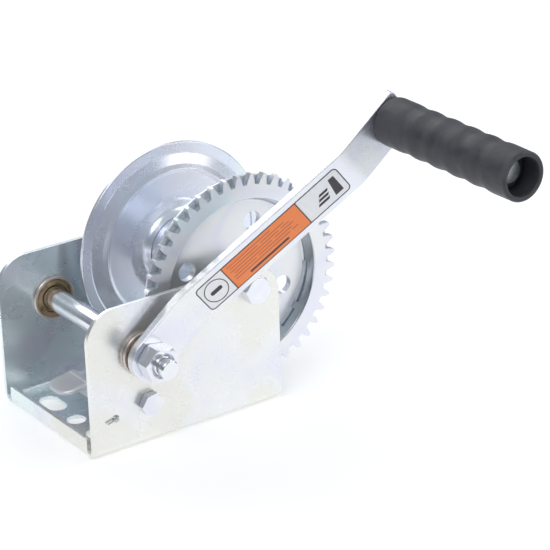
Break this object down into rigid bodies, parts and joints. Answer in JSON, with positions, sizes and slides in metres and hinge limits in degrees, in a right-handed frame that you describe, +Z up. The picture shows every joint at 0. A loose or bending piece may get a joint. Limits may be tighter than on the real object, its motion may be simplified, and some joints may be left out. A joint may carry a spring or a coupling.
{
  "type": "boat trailer winch",
  "caption": "Hand-cranked trailer winch: folded steel frame, geared drum with flared flange, bent crank arm with a turning grip, and a ratchet pawl.",
  "frame": {"origin": "middle of the frame's underside, on the face that rests on the trailer's bracket", "axes": "+X along the frame from the edge with the upturned lip to the edge below the drum, +Y from the crank side to the far plate, +Z up"},
  "size_m": [0.226, 0.3104, 0.2167],
  "materials": {
    "zinc_plate": "bright zinc plating, slightly bluish",
    "gear_steel": "machined, zinc plated",
    "plain_steel": "plain bright steel",
    "bronze": "oiled sintered bronze",
    "grip_plastic": "fine matte moulded",
    "decal_vinyl": "printed vinyl sticker"
  },
  "bodies": {
    "frame_body": {"frame": "zinc_plate", "drive_bushing_near": "bronze", "drive_bushing_far": "bronze", "reel_bolt": "zinc_plate", "reel_nut": "zinc_plate", "reel_lock_washer": "plain_steel", "reel_sleeve": "plain_steel", "reel_collar_near": "plain_steel", "reel_collar_far": "plain_steel", "pawl_bolt": "zinc_plate", "pawl_nut": "zinc_plate", "pawl_washer": "zinc_plate", "pawl_spring": "plain_steel"},
    "drum": {"drive_gear": "zinc_plate", "reel_near_flange": "zinc_plate", "reel_barrel": "zinc_plate", "reel_flange": "zinc_plate"},
    "drive": {"drive_shaft": "zinc_plate", "pinion": "gear_steel", "crank_spacer": "zinc_plate", "crank_arm": "zinc_plate", "arm_decal": "decal_vinyl", "crank_nut": "zinc_plate", "grip_pin": "plain_steel", "shaft_washer": "zinc_plate", "shaft_clip": "plain_steel"},
    "grip_body": {"grip": "grip_plastic"},
    "pawl_body": {"pawl": "zinc_plate"}
  },
  "joints": [
    {"name": "drum_spin", "type": "hinge", "parent": "frame_body", "child": "drum", "pos_m": [0.053, 0, 0.0873], "axis": [0, 1, 0], "continuous": true},
    {"name": "drive_spin", "type": "hinge", "parent": "frame_body", "child": "drive", "pos_m": [-0.03315, 0, 0.06534], "axis": [0, 1, 0], "continuous": true},
    {"name": "grip_spin", "type": "hinge", "parent": "drive", "child": "grip_body", "pos_m": [0.13355, -0.17, 0.19794], "axis": [0, 1, 0], "continuous": true},
    {"name": "pawl_swing", "type": "hinge", "parent": "frame_body", "child": "pawl_body", "pos_m": [-0.0305, -0.048, 0.0295], "axis": [0, 1, 0], "range_deg": [-8, 8]}
  ],
  "couplings": [
    {"joint": "drive_spin", "follows": "drum_spin", "ratio": -4.0909}
  ]
}
